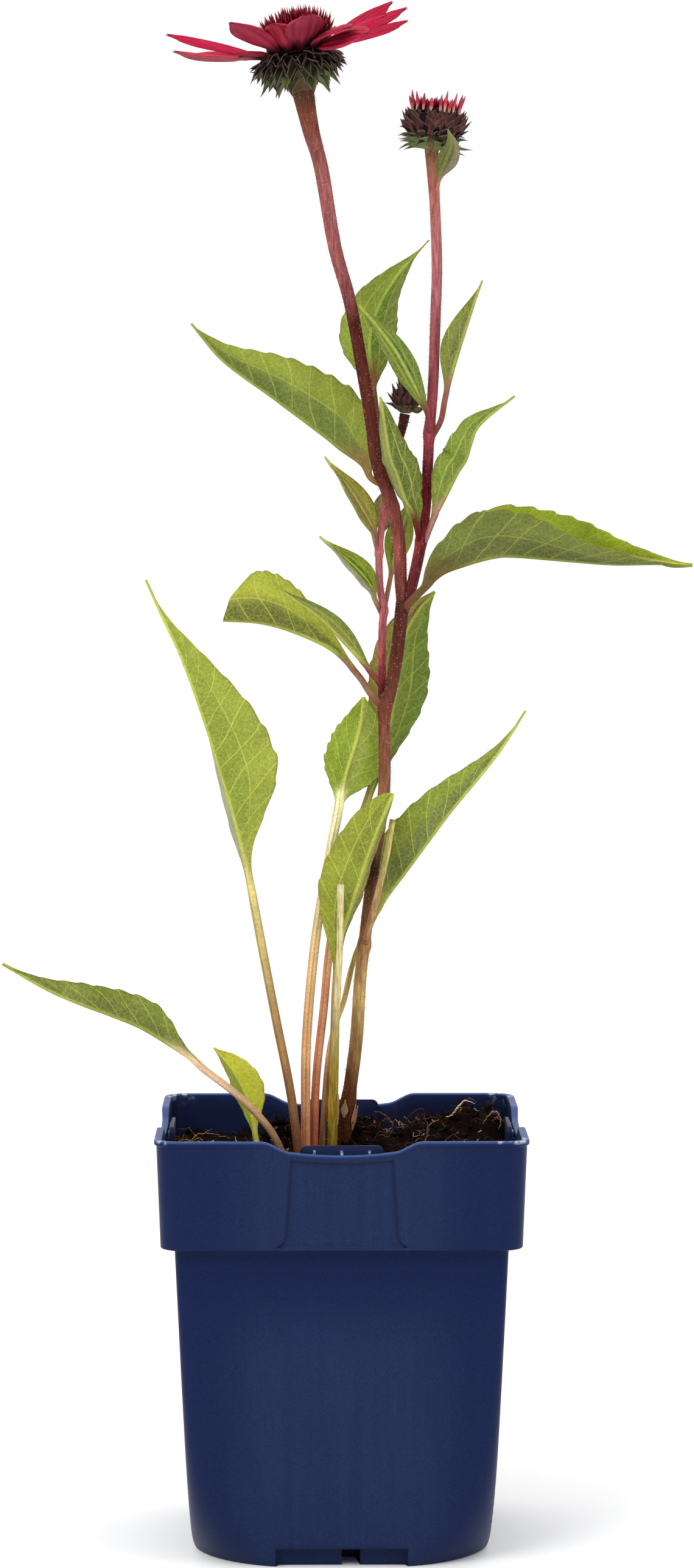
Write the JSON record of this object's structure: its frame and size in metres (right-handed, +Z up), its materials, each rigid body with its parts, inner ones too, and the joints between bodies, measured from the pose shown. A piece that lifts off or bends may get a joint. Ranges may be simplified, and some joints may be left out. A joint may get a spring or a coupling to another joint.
{
  "type": "potted coneflower plant",
  "caption": "Coneflower plant with an open daisy-like bloom, buds and pointed leaves, rooted in soil in a square nursery pot.",
  "frame": {"origin": "middle of the pot's flat floor, where it rests", "axes": "+Z up the plant; +X to the right and -Y towards the viewer, square to the pot's sides"},
  "size_m": [0.2602, 0.14, 0.5926],
  "materials": {
    "pot": "fine matt grain, navy blue",
    "soil": "damp dark peat compost with fibres",
    "stem": "red-brown, finely bristly",
    "stub_green": "pale green, satin",
    "stub_brown": "dry brown",
    "leaf": "fresh green, finely hairy, pale veins",
    "ray": "velvety crimson, ribbed lengthwise",
    "disc": "dark red-brown stiff scales",
    "bract": "dark purple-brown, hairy, green towards the stalk"
  },
  "bodies": {
    "root": {"pot": "pot", "soil": "soil", "stems": "stem", "stub_green": "stub_green", "stub_brown": "stub_brown", "leaf_tall_left": "leaf", "leaf_behind_left": "leaf", "leaf_behind_stem": "leaf", "leaf_front_folded": "leaf", "leaf_tall_right": "leaf", "leaf_low_left": "leaf", "leaf_small_low": "leaf", "leaf_upper_left": "leaf", "leaf_upper_back": "leaf", "leaf_upper_front": "leaf", "leaf_front_upright": "leaf", "leaf_bud_right": "leaf", "leaf_right_mid": "leaf", "leaf_big_right": "leaf", "leaf_small_left_high": "leaf", "leaf_small_right_high": "leaf", "leaf_small_left_low": "leaf", "leaf_small_right_low": "leaf", "leaf_blunt_left": "leaf", "leaf_narrow_left": "leaf", "leaf_bud_bract": "leaf", "bloom_bracts": "bract", "bloom_rays": "ray", "bloom_disc": "disc", "bud_bracts": "bract", "bud_rays": "ray", "bud_disc": "disc", "small_bud": "bract"}
  },
  "joints": []
}
